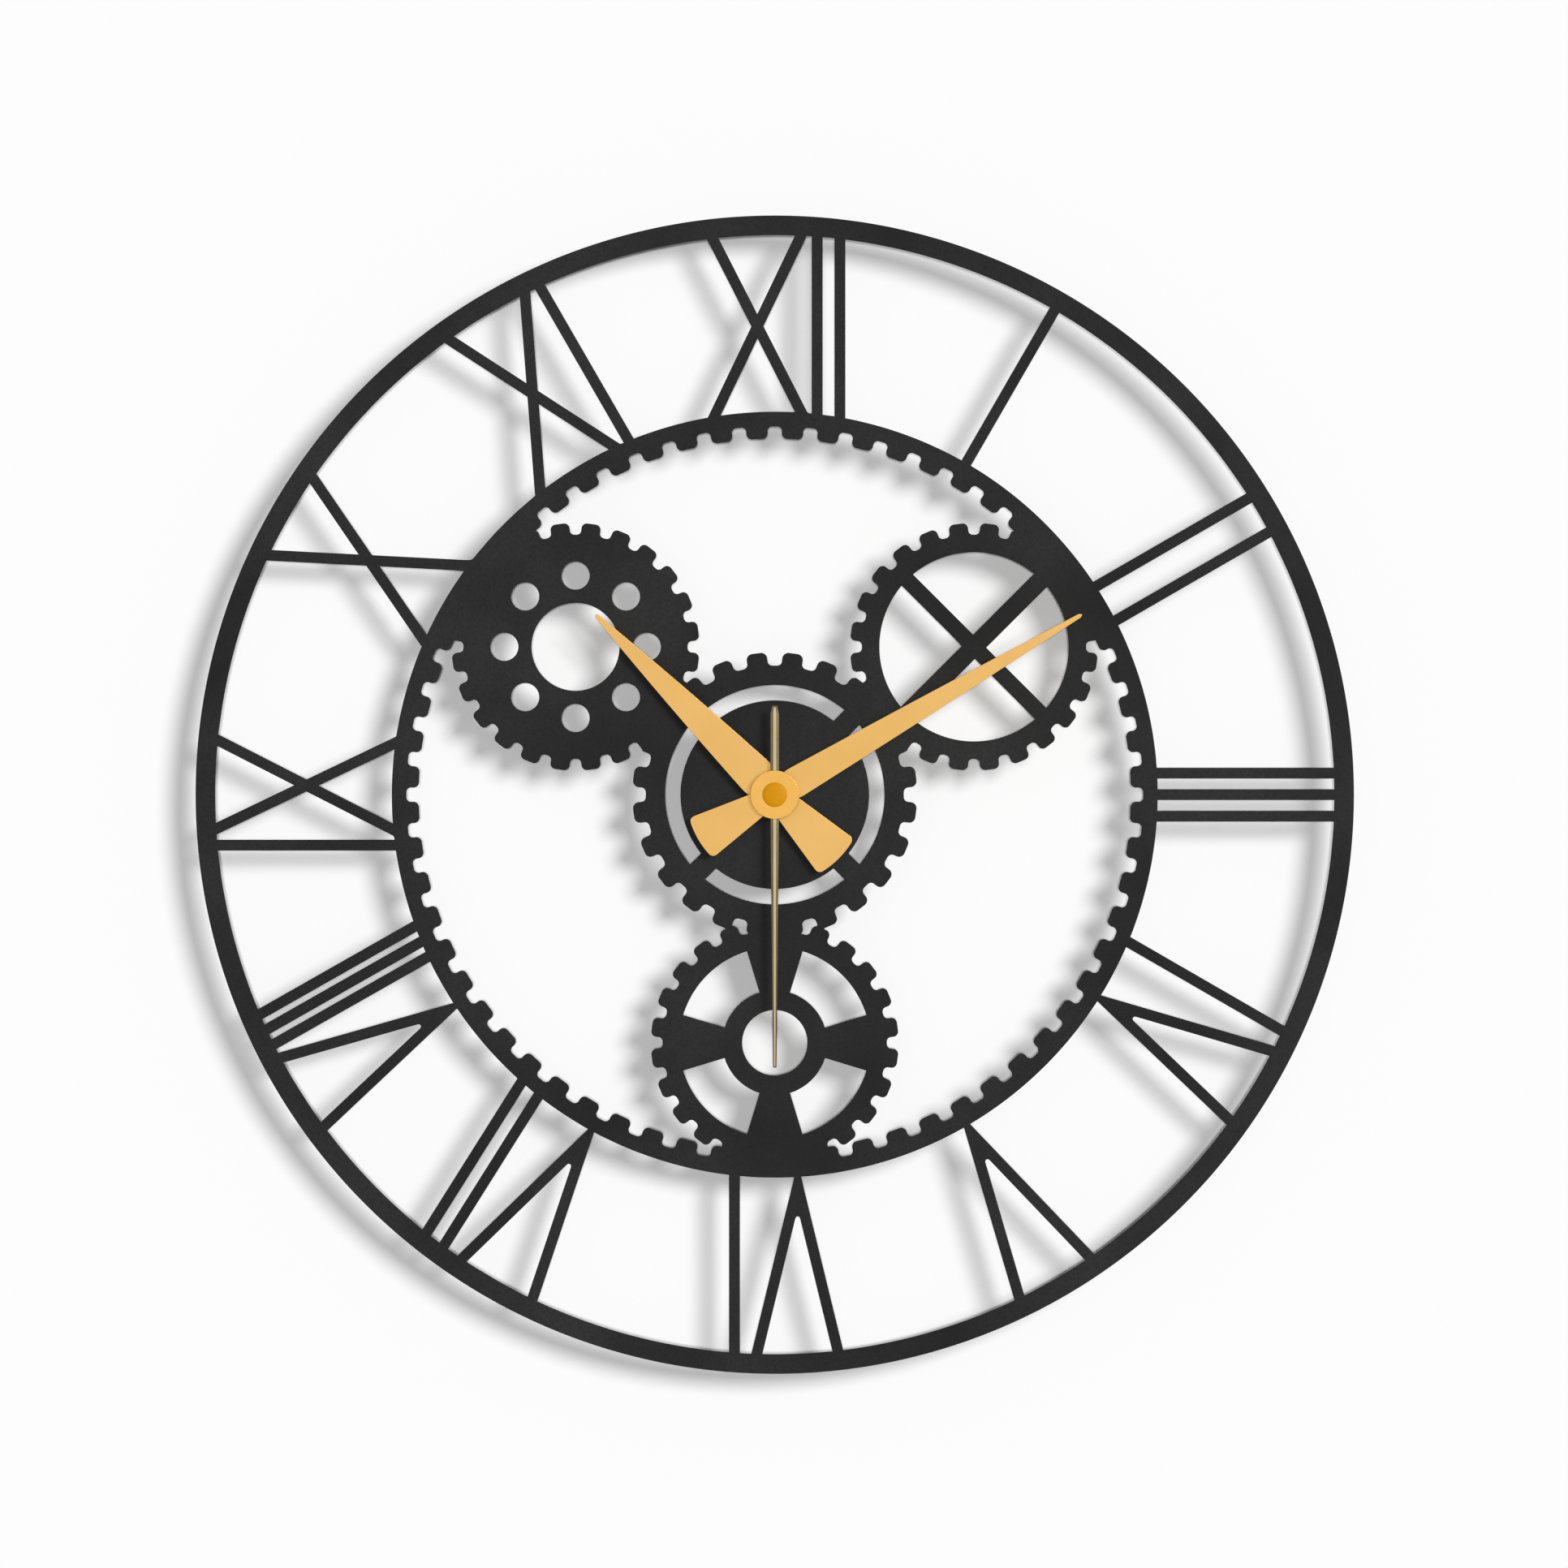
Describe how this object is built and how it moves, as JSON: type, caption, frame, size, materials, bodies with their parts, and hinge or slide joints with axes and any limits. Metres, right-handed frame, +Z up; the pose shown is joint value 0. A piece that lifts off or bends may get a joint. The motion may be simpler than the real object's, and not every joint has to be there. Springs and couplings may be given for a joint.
{
  "type": "gear wall clock",
  "caption": "Open-frame wall clock cut from black sheet metal, with Roman numerals, decorative gears joined as one plate, and gold hands on a battery quartz movement.",
  "frame": {"origin": "middle of the movement's rear face on the hand axis, where the clock rests against the wall", "axes": "+Z up, +X to the right seen from the front, +Y into the wall; the dial faces -Y"},
  "size_m": [0.5, 0.03, 0.5],
  "materials": {
    "black_sheet": "fine-textured matt black powder coat on cut steel sheet",
    "gold_hands": "satin gold lacquer on thin sheet",
    "pale_gold": "brushed and clear-lacquered pale gold metal",
    "deep_gold": "satin deep gold paint",
    "black_plastic": "moulded with a fine spark-eroded grain",
    "white_plastic": "plain moulded, unpainted",
    "grey_plastic": "plain moulded, unpainted",
    "brass": "turned, bright",
    "steel": "bright plated sheet",
    "dark_steel": "plain rolled soft iron",
    "rubber": "moulded, matt",
    "board": "green solder mask on fibre board",
    "epoxy": "cured black epoxy blob",
    "copper": "enamelled copper wire, wound",
    "battery_sleeve": "shrink sleeve without print over a steel can"
  },
  "bodies": {
    "clock_body": {"dial_plate": "black_sheet", "movement_case": "black_plastic", "battery_tray": "black_plastic", "rear_cover": "black_plastic", "threaded_bush": "brass", "hanger_plate": "steel", "rubber_washer": "rubber", "flat_washer": "steel", "hex_nut": "brass", "coil_bobbin": "white_plastic", "coil_winding": "copper", "coil_core": "dark_steel", "stator": "dark_steel", "train_bridge": "grey_plastic", "circuit_board": "board", "chip_cover": "epoxy", "quartz_crystal": "steel", "positive_contact": "steel", "negative_contact": "steel"},
    "second_hand": {"second_wheel": "white_plastic", "second_needle": "pale_gold", "second_boss": "gold_hands", "second_cap": "deep_gold"},
    "rotor": {"rotor": "dark_steel"},
    "fifth_wheel": {"fifth_wheel": "white_plastic"},
    "third_wheel": {"third_wheel": "white_plastic"},
    "centre_wheel": {"centre_wheel": "white_plastic"},
    "minute_hand": {"minute_pipe": "brass", "minute_hand": "gold_hands", "hand_nut": "brass", "clutch_spring": "brass"},
    "minute_wheel": {"minute_wheel": "white_plastic"},
    "hour_hand": {"hour_wheel": "white_plastic", "hour_hand": "gold_hands"},
    "setting_knob": {"setting_knob": "white_plastic"},
    "battery": {"battery": "battery_sleeve"}
  },
  "joints": [
    {"name": "second_hand_turn", "type": "hinge", "parent": "clock_body", "child": "second_hand", "pos_m": [0, 0, 0], "axis": [0, 1, 0], "continuous": true},
    {"name": "fifth_wheel_turn", "type": "hinge", "parent": "clock_body", "child": "fifth_wheel", "pos_m": [0.00261, 0, 0.00974], "axis": [0, 1, 0], "continuous": true},
    {"name": "rotor_turn", "type": "hinge", "parent": "clock_body", "child": "rotor", "pos_m": [-0.00171, 0, 0.01488], "axis": [0, 1, 0], "continuous": true},
    {"name": "third_wheel_turn", "type": "hinge", "parent": "clock_body", "child": "third_wheel", "pos_m": [-0.00883, 0, 0.0051], "axis": [0, 1, 0], "continuous": true},
    {"name": "centre_wheel_turn", "type": "hinge", "parent": "clock_body", "child": "centre_wheel", "pos_m": [0, 0, 0], "axis": [0, 1, 0], "continuous": true},
    {"name": "minute_hand_turn", "type": "hinge", "parent": "clock_body", "child": "minute_hand", "pos_m": [0, 0, 0], "axis": [0, 1, 0], "continuous": true},
    {"name": "minute_wheel_turn", "type": "hinge", "parent": "clock_body", "child": "minute_wheel", "pos_m": [0.0094, 0, 0.00342], "axis": [0, 1, 0], "continuous": true},
    {"name": "hour_hand_turn", "type": "hinge", "parent": "clock_body", "child": "hour_hand", "pos_m": [0, 0, 0], "axis": [0, 1, 0], "continuous": true},
    {"name": "knob_turn", "type": "hinge", "parent": "clock_body", "child": "setting_knob", "pos_m": [0.01925, 0, 0.00516], "axis": [0, 1, 0], "continuous": true},
    {"name": "battery_out", "type": "slide", "parent": "clock_body", "child": "battery", "axis": [0, 1, 0], "range_m": [0, 0.02]}
  ],
  "couplings": [
    {"joint": "fifth_wheel_turn", "follows": "second_hand_turn", "ratio": -6},
    {"joint": "rotor_turn", "follows": "second_hand_turn", "ratio": 30},
    {"joint": "third_wheel_turn", "follows": "second_hand_turn", "ratio": -0.13333},
    {"joint": "centre_wheel_turn", "follows": "second_hand_turn", "ratio": 0.016667},
    {"joint": "minute_wheel_turn", "follows": "minute_hand_turn", "ratio": -0.33333},
    {"joint": "hour_hand_turn", "follows": "minute_hand_turn", "ratio": 0.083333},
    {"joint": "knob_turn", "follows": "minute_hand_turn", "ratio": 1}
  ]
}
